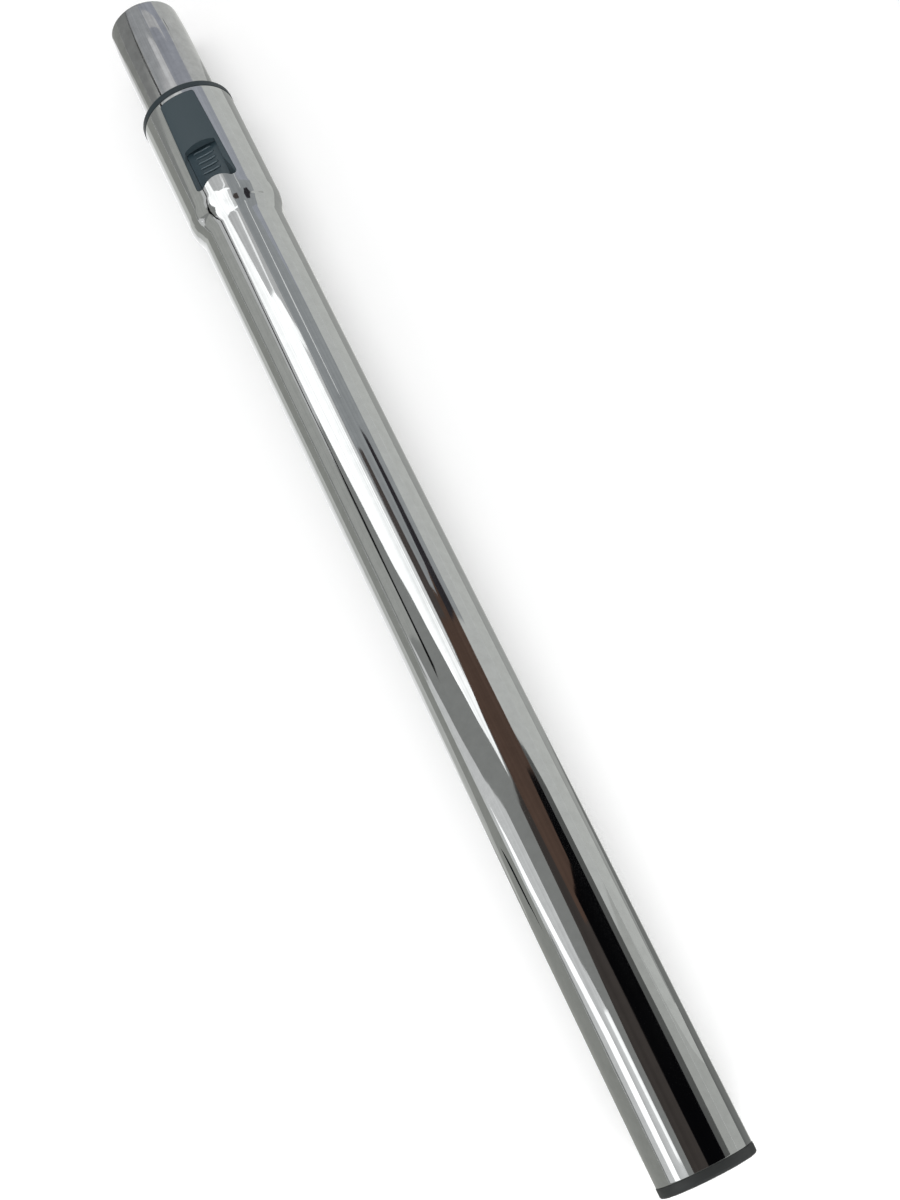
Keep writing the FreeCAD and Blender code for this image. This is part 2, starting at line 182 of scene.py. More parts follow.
def window_slab(inset, low, high):
    """The window's outline round the tongue, drawn in by inset."""
    y = (WINDOW_LOW + inset, WINDOW_HIGH - inset)
    x = (WINDOW_LOW_HALF - inset, WINDOW_HIGH_HALF - inset)
    bm = slab([(-x[0], y[0]), (x[0], y[0]), (x[1], y[1]), (-x[1], y[1])], low, high)
    round_uprights(bm, y[0], WINDOW_LOW_ROUND, WINDOW_LOW_STEPS)
    round_uprights(bm, y[1], WINDOW_HIGH_ROUND, WINDOW_HIGH_STEPS)
    bow = (TONGUE_HALF**2 + TONGUE_BOW**2) / (2 * TONGUE_BOW)
    tongue = bmesh.new()
    bmesh.ops.create_cone(tongue, cap_ends=True, segments=TONGUE_STEPS, radius1=bow + inset,
                          radius2=bow + inset, depth=high - low + PAST)
    centre = (0, WINDOW_LOW + TONGUE_BOW - bow, (low + high) / 2)
    bmesh.ops.translate(tongue, verts=tongue.verts[:], vec=centre)
    return shaped(bm, tongue, "DIFFERENCE")


def colour(code):
    """An sRGB hex colour as the linear values that a shader takes."""
    values = [int(code[n:n + 2], 16) / 255 for n in (1, 3, 5)]
    return tuple(v / 12.92 if v <= 0.04045 else ((v + 0.055) / 1.055)**2.4 for v in values) + (1.0,)


def add(material, kind, links=(), **settings):
    """Adds a shader node with its settings and input values, and links other nodes' outputs to its inputs."""
    node = material.node_tree.nodes.new(kind)
    for key, value in settings.items():
        if key.startswith("in_"):
            node.inputs[key[3:].replace("_", " ")].default_value = value
        else:
            setattr(node, key, value)
    for socket, other, output in links:
        material.node_tree.links.new(other.outputs[output], node.inputs[socket])
    return node


def blank(name):
    """A new node material with nothing in it."""
    material = bpy.data.materials.new(name)
    material.use_nodes = True
    material.node_tree.nodes.clear()
    return material


def dress(piece, material):
    """Gives a piece one material all over."""
    piece.data.materials.clear()
    piece.data.materials.append(material)


# Bright chromium on polished steel mirrors the studio. Handling leaves dull smears about 40 mm long and pale
# clouds about 5 mm wide. Drawing the tube through its die leaves shallow waves, 4 mm wide and 200 mm long.
# Inside, where the surface faces the axis, the steel is left dull as drawn.
SMEARS_PER_M = (60, 25, 60)
SMEAR_SHOWS = (0.42, 0.72)
CLOUDS_PER_M = 220.0
CLOUD_SHOWS = (0.3, 0.7)
WAVES_PER_M = (250, 5, 250)
WAVE_DEPTH = 0.0001
FACES_IN = -0.005         # a surface whose normal falls under this along its spoke, in metres, faces the axis
BORE_ROUGH = 0.55


def chrome_plate(name, tint, clean, smeared, dent, cloud):
    """Chromium plate: the roughness of its clean and smeared parts, the strength of its waves and clouds."""
    material = blank(name)
    place = add(material, "ShaderNodeTexCoord")
    smear_way = add(material, "ShaderNodeMapping", [("Vector", place, "Object")], in_Scale=SMEARS_PER_M)
    smears = add(material, "ShaderNodeTexNoise", [("Vector", smear_way, "Vector")], in_Scale=1.0,
                 in_Detail=4.0, in_Roughness=0.6)
    gloss = add(material, "ShaderNodeMapRange", [("Value", smears, "Fac")], in_From_Min=SMEAR_SHOWS[0],
                in_From_Max=SMEAR_SHOWS[1], in_To_Min=clean, in_To_Max=smeared)
    clouds = add(material, "ShaderNodeTexNoise", [("Vector", place, "Object")], in_Scale=CLOUDS_PER_M,
                 in_Detail=5.0, in_Roughness=0.65)
    tone = add(material, "ShaderNodeMapRange", [("Value", clouds, "Fac")], in_From_Min=CLOUD_SHOWS[0],
               in_From_Max=CLOUD_SHOWS[1], in_To_Min=1 - cloud, in_To_Max=1 + cloud)
    plate = add(material, "ShaderNodeVectorMath", [("Scale", tone, "Result")], operation="SCALE")
    plate.inputs[0].default_value = colour(tint)[:3]
    wave_way = add(material, "ShaderNodeMapping", [("Vector", place, "Object")], in_Scale=WAVES_PER_M)
    waves = add(material, "ShaderNodeTexNoise", [("Vector", wave_way, "Vector")], in_Scale=1.0, in_Detail=2.0)
    dents = add(material, "ShaderNodeBump", [("Height", waves, "Fac")], in_Strength=dent,
                in_Distance=WAVE_DEPTH)
    skin = add(material, "ShaderNodeNewGeometry")
    spoke = add(material, "ShaderNodeVectorMath", [(0, place, "Object")], operation="MULTIPLY_ADD")
    spoke.inputs[1].default_value = (1, 0, 1)
    spoke.inputs[2].default_value = (0, 0, -AXIS_HEIGHT / 1000)
    facing = add(material, "ShaderNodeVectorMath", [(0, skin, "Normal"), (1, spoke, "Vector")],
                 operation="DOT_PRODUCT")
    bare = add(material, "ShaderNodeMath", [(0, facing, "Value")], operation="LESS_THAN")
    bare.inputs[1].default_value = FACES_IN
    rough = add(material, "ShaderNodeMix", [("Factor", bare, "Value"), ("A", gloss, "Result")],
                in_B=BORE_ROUGH)
    skin_links = [("Base Color", plate, "Vector"), ("Roughness", rough, "Result"),
                  ("Normal", dents, "Normal")]
    shader = add(material, "ShaderNodeBsdfPrincipled", skin_links, in_Metallic=1.0)
    add(material, "ShaderNodeOutputMaterial", [("Surface", shader, "BSDF")])
    return material


bore, bell_bore = TUBE_RADIUS - TUBE_WALL, BELL_RADIUS - TUBE_WALL
form = spun([(TUBE_START, TUBE_RADIUS), (TUBE_START + HOLD, TUBE_RADIUS),
             (NECK_FOOT - NECK_ROUND - HOLD, TUBE_RADIUS), (NECK_FOOT, TUBE_RADIUS),
             (NECK_HEAD, BELL_RADIUS), (NECK_HEAD + NECK_ROUND + HOLD, BELL_RADIUS),
             (BELL_END - HOLD, BELL_RADIUS), (BELL_END, BELL_RADIUS),
             (BELL_END, bell_bore), (NECK_HEAD, bell_bore), (NECK_FOOT, bore), (TUBE_START, bore)])
round_rings(form, [(NECK_FOOT, TUBE_RADIUS), (NECK_HEAD, BELL_RADIUS)], NECK_ROUND, NECK_STEPS)
round_rings(form, [(NECK_FOOT, bore), (NECK_HEAD, bell_bore)], NECK_ROUND, NECK_BORE_STEPS)
round_rings(form, [(BELL_END, BELL_RADIUS), (TUBE_START, TUBE_RADIUS)], TUBE_EDGE, TUBE_EDGE_STEPS)
form = shaped(form, window_slab(0, 0, BELL_RADIUS + PAST), "DIFFERENCE")
outer_tube = to_row("outer_tube_chromed", form)
dress(outer_tube, chrome_plate("bright_chromium_plate", "#BCBEBE", clean=0.045, smeared=0.09, dent=0.8,
                               cloud=0.05))
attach(outer_tube, "outer")
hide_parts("outer_tube")


# Socket bush. An injection-moulded bush pushed into the tube's lower end: a dark rounded ring shows outside,
# and its bore takes the handle's spigot. Acrylonitrile plastic with a fine satin moulded skin.
SOCKET_RADIUS = 17.6
SOCKET_END = 42.0
SOCKET_EDGE = 0.8
SOCKET_EDGE_STEPS = 4
RING_RADIUS = 19.7
RING_ROUND = 1.1
RING_ROUND_STEPS = 6
RING_BACK_EDGE = 0.2
RING_BACK_STEPS = 2
BUSH_RADIUS = 18.6
form = spun([(0, SOCKET_RADIUS), (0, RING_RADIUS), (TUBE_START, RING_RADIUS), (TUBE_START, BUSH_RADIUS),
             (SOCKET_END, BUSH_RADIUS), (SOCKET_END, SOCKET_RADIUS)])
round_rings(form, [(0, RING_RADIUS)], RING_ROUND, RING_ROUND_STEPS)
round_rings(form, [(0, SOCKET_RADIUS)], SOCKET_EDGE, SOCKET_EDGE_STEPS)
round_rings(form, [(TUBE_START, RING_RADIUS)], RING_BACK_EDGE, RING_BACK_STEPS)
socket_bush = to_row("socket_bush_moulded", form)


# Moulded plastic keeps the spark-eroded grain of its mould. The real grain is about 0.1 mm. It is drawn at
# 0.5 mm so that it shows, with a slow change of gloss about 30 mm wide where hands have polished it.
GRAINS_PER_M = 2000.0
GRAIN_DEPTH = 0.00004
WEAR_PER_M = 33.0
WEAR_RANGE = 0.06
PLASTIC_IOR = 1.53
PLASTIC_SHINE = 0.3


def moulded_plastic(name, tint, rough, grain):
    """Moulded plastic or rubber with its mean roughness and the strength of its grain."""
    material = blank(name)
    place = add(material, "ShaderNodeTexCoord")
    grains = add(material, "ShaderNodeTexNoise", [("Vector", place, "Object")], in_Scale=GRAINS_PER_M,
                 in_Detail=2.0)
    dents = add(material, "ShaderNodeBump", [("Height", grains, "Fac")], in_Strength=grain,
                in_Distance=GRAIN_DEPTH)
    wear = add(material, "ShaderNodeTexNoise", [("Vector", place, "Object")], in_Scale=WEAR_PER_M,
               in_Detail=3.0)
    gloss = add(material, "ShaderNodeMapRange", [("Value", wear, "Fac")], in_To_Min=rough - WEAR_RANGE,
                in_To_Max=rough + WEAR_RANGE)
    skin_links = [("Roughness", gloss, "Result"), ("Normal", dents, "Normal")]
    shader = add(material, "ShaderNodeBsdfPrincipled", skin_links, in_Base_Color=colour(tint),
                 in_IOR=PLASTIC_IOR, in_Specular_IOR_Level=PLASTIC_SHINE)
    add(material, "ShaderNodeOutputMaterial", [("Surface", shader, "BSDF")])
    return material


dress(socket_bush, moulded_plastic("satin_moulded_abs_ring", "#2A2C2C", rough=0.45, grain=0.25))
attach(socket_bush, "outer")
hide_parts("socket_bush")


# Inner tube. A thinner drawn steel tube, chromium plated and duller from sliding. Its push-fit end is sized
# down a little and its tip is swaged in. A flat keyway with punched notches runs along its top.
RUN_RADIUS = 17.75
SPIGOT_RADIUS = 17.5
TIP_RADIUS = 16.7
INNER_WALL = 0.65
INNER_START = 57.0
SIZING = 514.7
SIZING_STEP = 0.25
SWAGE = 552.0
SWAGE_KNEE = (561.35, 17.42)
SWAGE_ROUND = 8.6
SWAGE_STEPS = 12
TIP = 570.7
TIP_EDGE = 0.3
TIP_EDGE_STEPS = 3
KEYWAY = (85.0, 511.0)
KEYWAY_HALF = 8.5
KEYWAY_FLOOR = 15.35
NOTCHES = 13
NOTCH_PITCH = 30.0
NOTCH_TOP = 493.3
NOTCH_HALF = (3.5, 2.2)
WELL_PAST = 3.0
CORE = 0.02               # solid forms are spun from this close to the axis


def brick(half_x, y, z):
    """A box centred across the wand."""
    bm = bmesh.new()
    bmesh.ops.create_cube(bm, size=1.0)
    bmesh.ops.scale(bm, verts=bm.verts[:], vec=(2 * half_x, y[1] - y[0], z[1] - z[0]))
    bmesh.ops.translate(bm, verts=bm.verts[:], vec=(0, (y[0] + y[1]) / 2, (z[0] + z[1]) / 2))
    return bm


form = spun([(INNER_START, CORE), (INNER_START, RUN_RADIUS), (SIZING, RUN_RADIUS),
             (SIZING + SIZING_STEP, SPIGOT_RADIUS), SWAGE_KNEE, (TIP, TIP_RADIUS), (TIP, CORE)])
round_rings(form, [SWAGE_KNEE], SWAGE_ROUND, SWAGE_STEPS)
round_rings(form, [(TIP, TIP_RADIUS)], TIP_EDGE, TIP_EDGE_STEPS)
high = RUN_RADIUS + WELL_PAST
form = shaped(form, brick(KEYWAY_HALF, KEYWAY, (KEYWAY_FLOOR, high)), "DIFFERENCE")
inside = spun([(INNER_START - PAST, CORE), (INNER_START - PAST, RUN_RADIUS - INNER_WALL),
               (SIZING, RUN_RADIUS - INNER_WALL), (SIZING + SIZING_STEP, SPIGOT_RADIUS - INNER_WALL),
               (SWAGE, SPIGOT_RADIUS - INNER_WALL), (TIP, TIP_RADIUS - INNER_WALL),
               (TIP + PAST, TIP_RADIUS - INNER_WALL), (TIP + PAST, CORE)])
under = brick(KEYWAY_HALF + INNER_WALL, (KEYWAY[0] - INNER_WALL, KEYWAY[1] + INNER_WALL),
              (KEYWAY_FLOOR - INNER_WALL, high))
form = shaped(form, shaped(inside, under, "DIFFERENCE"), "DIFFERENCE")
for n in range(NOTCHES):
    middle = NOTCH_TOP - n * NOTCH_PITCH
    along = (middle - NOTCH_HALF[1], middle + NOTCH_HALF[1])
    form = shaped(form, brick(NOTCH_HALF[0], along, (KEYWAY_FLOOR - PAST, high)), "DIFFERENCE")
inner_tube = to_row("inner_tube_chromed", form)
dress(inner_tube, chrome_plate("worn_chromium_plate", "#B2B3B4", clean=0.05, smeared=0.20, dent=1.0,
                               cloud=0.09))
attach(inner_tube, "inner")
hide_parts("inner_tube")


# Bush and seal on the inner tube's hidden end. The bush is turned acetal that slides in the outer tube, and
# the seal is a square-section rubber ring in its groove. Both keep their CAD solids.
dress(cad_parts["inner_end_bush"], moulded_plastic("natural_acetal", "#D6D4CB", rough=0.38, grain=0.1))
dress(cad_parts["piston_seal"], moulded_plastic("nitrile_rubber", "#1B1B1C", rough=0.72, grain=0.3))


# Guide sleeve. A moulded sleeve clipped into the bell: its collar closes the bell's end, its bore guides the
# inner tube and its key runs in the keyway. Its channel holds the slider and its ledge carries the plate.
COLLAR_RADIUS = 22.3
COLLAR_END = 514.7
COLLAR_ROUND = 1.0
COLLAR_STEPS = 6
GUIDE_RADIUS = 17.95
GUIDE_MOUTH = 0.6
SLEEVE_START = 446.0
SLEEVE_RADIUS = 21.25
SLEEVE_SHOULDER = 455.4
KEY_HALF = 8.3
KEY_END = 510.0
KEY_LOW = 15.55
CHANNEL_HALF = 7.7
CHANNEL_LOW = 16.15
CHANNEL_END = 508.0
LEDGE = 16.42
BOLT_HOLE_HALF = 2.7
BOLT_HOLE = (491.6, 495.0)
form = spun([(SLEEVE_START, CORE), (SLEEVE_START, BUSH_RADIUS), (SLEEVE_SHOULDER, SLEEVE_RADIUS),
             (BELL_END, SLEEVE_RADIUS), (BELL_END, COLLAR_RADIUS), (COLLAR_END, COLLAR_RADIUS),
             (COLLAR_END, CORE)])
round_rings(form, [(COLLAR_END, COLLAR_RADIUS)], COLLAR_ROUND, COLLAR_STEPS)
mouth = GUIDE_RADIUS + 2 * GUIDE_MOUTH
inside = spun([(SLEEVE_START - PAST, CORE), (SLEEVE_START - PAST, GUIDE_RADIUS),
               (COLLAR_END - GUIDE_MOUTH, GUIDE_RADIUS), (COLLAR_END + GUIDE_MOUTH, mouth),
               (COLLAR_END + PAST, mouth), (COLLAR_END + PAST, CORE)])
high = COLLAR_RADIUS + WELL_PAST
key = brick(KEY_HALF, (SLEEVE_START - WELL_PAST, KEY_END), (KEY_LOW, high))
form = shaped(form, shaped(inside, key, "DIFFERENCE"), "DIFFERENCE")
channel = brick(CHANNEL_HALF, (SLEEVE_START - PAST, CHANNEL_END), (CHANNEL_LOW, high))
form = shaped(form, channel, "DIFFERENCE")
form = shaped(form, window_slab(0, LEDGE, high), "DIFFERENCE")
form = shaped(form, brick(BOLT_HOLE_HALF, BOLT_HOLE, (0, high)), "DIFFERENCE")
guide_sleeve = to_row("guide_sleeve_moulded", form)
dress(guide_sleeve, moulded_plastic("satin_moulded_abs_collar", "#263136", rough=0.45, grain=0.25))
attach(guide_sleeve, "outer")
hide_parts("guide_sleeve")


# Locking bolt and cross pin. A ground steel block drops its tooth into a notch of the inner tube, and a steel
# pin through it rides in the slider's slots. Grinding leaves lines about 0.2 mm apart, drawn at 0.4 mm so
# that they show. Both keep their CAD solids.
LINES_PER_M = (200, 2500, 2500)
STEEL_ROUGH = (0.25, 0.45)
ground_steel = blank("ground_steel")
place = add(ground_steel, "ShaderNodeTexCoord")
line_way = add(ground_steel, "ShaderNodeMapping", [("Vector", place, "Object")], in_Scale=LINES_PER_M)
lines = add(ground_steel, "ShaderNodeTexNoise", [("Vector", line_way, "Vector")], in_Scale=1.0, in_Detail=2.0)
gloss = add(ground_steel, "ShaderNodeMapRange", [("Value", lines, "Fac")], in_To_Min=STEEL_ROUGH[0],
            in_To_Max=STEEL_ROUGH[1])
shader = add(ground_steel, "ShaderNodeBsdfPrincipled", [("Roughness", gloss, "Result")],
             in_Base_Color=colour("#B0B2B4"), in_Metallic=1.0)
add(ground_steel, "ShaderNodeOutputMaterial", [("Surface", shader, "BSDF")])
dress(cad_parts["locking_bolt"], ground_steel)
dress(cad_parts["cross_pin"], ground_steel)


# Slider. A moulded thumb slider that runs under the plate: five low ribs across its hollow pad, a wall that
# fills the gap under the tongue, and a slotted frame round the bolt with a bar for the spring. A painted
# highlight makes the upper side of the ribs' crests paler.
PAD_HALF = 7.5
PAD = (453.9, 497.0)
PAD_LOW = 16.25
PAD_HIGH = 17.35
PAD_SIDES = 18.65
PAD_STEPS = 32
RIBS = 5
RIB_PITCH = 2.95
RIB_FIRST = 468.4
RIB_HALF = 4.6
RIB_WIDTH_HALF = 0.55
RIB_RISE = 0.5
RIB_ROOT = 0.3
RIB_STEPS = 24
RIB_ARCH = 8
RIB_ENDS = 6              # the higher, the more suddenly a rib runs out at its ends
# Where the painted highlight lies on each rib crest:
HIGHLIGHT_ABOVE = 0.8        # share of a rib's rise
HIGHLIGHT_BELOW = 0.05       # how far the painted highlight reaches over the crest
CHEEK = (2.7, 4.9)
CHEEK_START = 487.6
CHEEK_HIGH = 18.95
CROSSBAR = 495.0
TAIL_WALL = (454.6, 456.6)
TAIL_HALF = 5.5
TAIL_RADIUS = 21.0
TAIL_SINK = 0.1
SLOT_LOW = (493.3, 17.1)
SLOT_HIGH = (489.3, 18.1)
SLOT_HALF = 0.55
SLOT_ROUND = 0.539        # just short of the half width
SLOT_STEPS = 6
COIL_HEIGHT = 17.65
COIL_SPIGOT = 0.7
COIL_SPIGOT_LENGTH = 3.5
COIL_SPIGOT_ROOT = 0.5
COIL_SPIGOT_STEPS = 24
JUST_PAST = 1.0
SLIDER_TINT = "#303F46"
# the paler colour of the painted highlight on the rib crests
HIGHLIGHT_TINT = "#606E75"
COLOUR_A, COLOUR_B, COLOUR_OUT = 6, 7, 2        # a mix node's colour sockets


def pad_height(x):
    """Height of the pad's hollow at a place across the wand."""
    bow = (PAD_HALF**2 + (PAD_SIDES - PAD_HIGH)**2) / (2 * (PAD_SIDES - PAD_HIGH))
    return PAD_HIGH + bow - math.sqrt(bow**2 - x**2)


def rib_across(y):
    """A low arched rib that follows the hollow across the pad and runs out at both ends."""
    bm = bmesh.new()
    rings = []
    for n in range(RIB_STEPS + 1):
        side = 2 * n / RIB_STEPS - 1
        rise = RIB_RISE * math.sqrt(max(0.0, 1 - side**RIB_ENDS))
        base = pad_height(RIB_HALF * side)
        turns = [math.pi * k / RIB_ARCH for k in range(RIB_ARCH + 1)]
        ring = [(y + RIB_WIDTH_HALF * math.cos(t), base + rise * math.sin(t)) for t in turns]
        ring += [(y - RIB_WIDTH_HALF, base - RIB_ROOT), (y + RIB_WIDTH_HALF, base - RIB_ROOT)]
        rings.append([bm.verts.new((RIB_HALF * side, along, up)) for along, up in ring])
    for a, b in zip(rings, rings[1:]):
        for k in range(len(a)):
            bm.faces.new((a[k], a[k - 1], b[k - 1], b[k]))
    bm.faces.new(rings[0])
    bm.faces.new(rings[-1])
    bmesh.ops.recalc_face_normals(bm, faces=bm.faces[:])
    return bm


form = bmesh.new()
rim = [(PAD_HALF, PAD_LOW), (-PAD_HALF, PAD_LOW)]
for n in range(PAD_STEPS + 1):
    x = PAD_HALF * (2 * n / PAD_STEPS - 1)
    rim.append((x, pad_height(x)))
grow(form, form.faces.new([form.verts.new((x, PAD[0], z)) for x, z in rim]), (0, PAD[1] - PAD[0], 0))
form = shaped(form, brick(CHEEK[1], (CHEEK_START, PAD[1]), (PAD_LOW, CHEEK_HIGH)), "UNION")
form = shaped(form, brick(CHEEK[0], (CHEEK_START, CROSSBAR), (0, CHEEK_HIGH + JUST_PAST)), "DIFFERENCE")

across, up = SLOT_LOW[0] - SLOT_HIGH[0], SLOT_HIGH[1] - SLOT_LOW[1]
reach = math.hypot(up, across) / 2 + SLOT_HALF
slot = brick(CHEEK[1] + JUST_PAST, (-reach, reach), (-SLOT_HALF, SLOT_HALF))
ends = [e for e in slot.edges if abs(e.verts[0].co.x - e.verts[1].co.x) > NEAR]
rounded(slot, ends, SLOT_ROUND, SLOT_STEPS)
centre = Vector((0, (SLOT_LOW[0] + SLOT_HIGH[0]) / 2, (SLOT_LOW[1] + SLOT_HIGH[1]) / 2))
lean = Matrix.Rotation(-math.atan2(up, across), 4, "X")
bmesh.ops.transform(slot, verts=slot.verts[:], matrix=Matrix.Translation(centre) @ lean)
form = shaped(form, slot, "DIFFERENCE")
for n in range(RIBS):
    form = shaped(form, rib_across(RIB_FIRST + n * RIB_PITCH), "UNION")

wall = spun([(TAIL_WALL[0], CORE), (TAIL_WALL[0], TAIL_RADIUS), (TAIL_WALL[1], TAIL_RADIUS),
             (TAIL_WALL[1], CORE)])
kept = brick(TAIL_HALF, (TAIL_WALL[0] - JUST_PAST, TAIL_WALL[1] + JUST_PAST),
             (PAD_LOW + TAIL_SINK, TAIL_RADIUS + JUST_PAST))
form = shaped(form, shaped(wall, kept, "INTERSECT"), "UNION")
spigot = bmesh.new()
middle = Matrix.Translation((0, PAD[1] + COIL_SPIGOT_LENGTH / 2 - COIL_SPIGOT_ROOT, COIL_HEIGHT))
lying = Matrix.Rotation(math.pi / 2, 4, "X")
bmesh.ops.create_cone(spigot, cap_ends=True, segments=COIL_SPIGOT_STEPS, radius1=COIL_SPIGOT,
                      radius2=COIL_SPIGOT, depth=COIL_SPIGOT_LENGTH, matrix=middle @ lying)
form = shaped(form, spigot, "UNION")

# Painted highlight: the upper side of each rib's crest is marked for a paler colour.
crest_highlight = form.verts.layers.float.new("crest_highlight")
for v in form.verts:
    n = round((v.co.y - RIB_FIRST) / RIB_PITCH)
    beside = v.co.y - RIB_FIRST - n * RIB_PITCH
    on_top = abs(v.co.x) < RIB_HALF and v.co.z - pad_height(v.co.x) > HIGHLIGHT_ABOVE * RIB_RISE
    if on_top and 0 <= n < RIBS and beside > -HIGHLIGHT_BELOW:
        v[crest_highlight] = 1.0
slide_button = to_row("slide_button_moulded", form)
slider_plastic = moulded_plastic("satin_moulded_abs_slider", SLIDER_TINT, rough=0.20, grain=0.1)
# The marked crests are mixed to the paler colour of the painted highlight.
crest = add(slider_plastic, "ShaderNodeAttribute", attribute_name="crest_highlight")
tone = add(slider_plastic, "ShaderNodeMix", [("Factor", crest, "Fac")], data_type="RGBA")
tone.inputs[COLOUR_A].default_value = colour(SLIDER_TINT)
tone.inputs[COLOUR_B].default_value = colour(HIGHLIGHT_TINT)
shader = slider_plastic.node_tree.nodes["Principled BSDF"]
slider_plastic.node_tree.links.new(tone.outputs[COLOUR_OUT], shader.inputs["Base Color"])
dress(slide_button, slider_plastic)
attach(slide_button, "button")
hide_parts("slide_button")


# Slider spring. Five turns of drawn spring wire between the slider's bar and the end of its channel. On the
# real wand it shortens towards that end when the slider is pushed; here it keeps one length.
COIL_RADIUS = 1.1
WIRE_RADIUS = 0.2
WIRE_STEPS = 10
COIL = (497.3, 507.7)
COIL_TURNS = 5
COIL_STEPS = 24
spring = bmesh.new()
start = Matrix.Translation((0, COIL[0], COIL_HEIGHT + COIL_RADIUS)) @ Matrix.Rotation(math.pi / 2, 4, "Y")
wire = bmesh.ops.create_circle(spring, cap_ends=False, segments=WIRE_STEPS, radius=WIRE_RADIUS, matrix=start)
count = COIL_TURNS * COIL_STEPS
bmesh.ops.spin(spring, geom=wire["verts"] + spring.edges[:], cent=(0, 0, COIL_HEIGHT), axis=(0, 1, 0),
               dvec=(0, (COIL[1] - COIL[0]) / count, 0), angle=math.tau * COIL_TURNS, steps=count,
               use_merge=False, use_duplicate=False)
bmesh.ops.holes_fill(spring, edges=spring.edges[:], sides=0)
bmesh.ops.recalc_face_normals(spring, faces=spring.faces[:])
button_spring = to_row("button_spring_wound", spring)
dress(button_spring, ground_steel)
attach(button_spring, "outer")
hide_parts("button_spring")
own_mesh(button_spring)


# Window plate. A moulded cover that lies flush in the bell's window, with a thumb scoop that opens to the
# slider and spreads towards the tongue. Its edges are slightly broken and its face has a fine mould grain.
PLATE_GAP = 0.1
PLATE_RADIUS = 22.1
PLATE_EDGE = 19.61        # height of the plate's edge at the window's wide end
PLATE_OVER_PAD = 0.2
PLATE_FACE_PAST = 5.0
SCOOP_FLOOR_HALF = 7.2
SCOOP_TOP_HALF = 7.3
SCOOP_LOW_HALF = 9.6
SCOOP_CORNER = 480.6
SCOOP_CROWN = 0.8
SCOOP_LEAN = 0.2
SCOOP_STEPS = 8
SCOOP_SINK = 0.1
LOCK_ROOM_HALF = 5.1
LOCK_ROOM_START = 487.2
LOCK_ROOM_HIGH = 19.15
PLATE_EDGE_BREAK = 0.35
PLATE_EDGE_STEPS = 3
PLATE_EDGE_ANGLE = 25     # degrees; edges sharper than this are broken
FLAT_ANGLE = 1            # degrees; faces that lie this flat together are joined


def scoop_form(floor, top):
    """The scoop's cutter: an arched outline at the pad's sides, spread out to the plate's face and beyond."""
    bm = bmesh.new()
    rows = []
    for z in (floor, top):
        rise = (z - PAD_SIDES) / (PLATE_EDGE - PAD_SIDES)
        upper = SCOOP_FLOOR_HALF + (SCOOP_TOP_HALF - SCOOP_FLOOR_HALF) * rise
        lower = SCOOP_FLOOR_HALF + (SCOOP_LOW_HALF - SCOOP_FLOOR_HALF) * rise
        corner = SCOOP_CORNER - SCOOP_LEAN * (1 - rise)
        row = [bm.verts.new((-lower, WINDOW_LOW - JUST_PAST, z))]
        for n in range(-SCOOP_STEPS, SCOOP_STEPS + 1):
            side = n / SCOOP_STEPS
            row.append(bm.verts.new((upper * side, corner + SCOOP_CROWN * (1 - side**2), z)))
        row.append(bm.verts.new((lower, WINDOW_LOW - JUST_PAST, z)))
        rows.append([bm.edges.new((a, b)) for a, b in zip(row, row[1:] + row[:1])])
    bmesh.ops.bridge_loops(bm, edges=rows[0] + rows[1])
    bmesh.ops.holes_fill(bm, edges=bm.edges[:], sides=0)
    bmesh.ops.recalc_face_normals(bm, faces=bm.faces[:])
    return bm


form = window_slab(PLATE_GAP, LEDGE, BELL_RADIUS + PAST)
low, high = WINDOW_LOW - PLATE_FACE_PAST, WINDOW_HIGH + PLATE_FACE_PAST
face = spun([(low, CORE), (low, PLATE_RADIUS), (high, PLATE_RADIUS), (high, CORE)])
form = shaped(form, face, "INTERSECT")
channel = brick(CHANNEL_HALF, (WINDOW_LOW - JUST_PAST, CHANNEL_END), (0, PAD_SIDES + PLATE_OVER_PAD))
form = shaped(form, channel, "DIFFERENCE")
form = shaped(form, brick(LOCK_ROOM_HALF, (LOCK_ROOM_START, CHANNEL_END), (0, LOCK_ROOM_HIGH)), "DIFFERENCE")
form = shaped(form, scoop_form(PAD_SIDES - SCOOP_SINK, BELL_RADIUS + JUST_PAST), "DIFFERENCE")
bmesh.ops.dissolve_limit(form, angle_limit=math.radians(FLAT_ANGLE), verts=form.verts[:], edges=form.edges[:])
window_plate = to_row("window_plate_moulded", form)
edge_break = window_plate.modifiers.new("edge_break", "BEVEL")
edge_break.width = PLATE_EDGE_BREAK / 1000
edge_break.segments = PLATE_EDGE_STEPS
edge_break.limit_method = "ANGLE"
edge_break.angle_limit = math.radians(PLATE_EDGE_ANGLE)
dress(window_plate, moulded_plastic("grained_moulded_abs_plate", "#37444A", rough=0.50, grain=0.3))
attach(window_plate, "outer")
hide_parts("window_plate")


# Studio floor, room and lamps. A white paper floor, an even pale room, and three soft lamps that hang level
# beyond the tip, on the left and low in front. Floor and room show as white to the eye and in the metal, and
# the floor keeps the wand's shadow. Its own faint glow evens out the paper, more so far from the wand.
FLOOR_HALF = 6.0
FILL_REACH = (0.5, 2.5)
FILL_LEVEL = (0.22, 0.41)
ROOM_LEVEL = (0.7, 1.0)


def seen_rays(material):
    """1 for rays that show a thing directly, mirrored or seen through, 0 for those that only light it."""
    rays = add(material, "ShaderNodeLightPath")
    seen = add(material, "ShaderNodeMath", [(0, rays, "Is Camera Ray"), (1, rays, "Is Glossy Ray")],
               operation="MAXIMUM")
    return add(material, "ShaderNodeMath", [(0, seen, "Value"), (1, rays, "Is Transmission Ray")],
               operation="MAXIMUM")


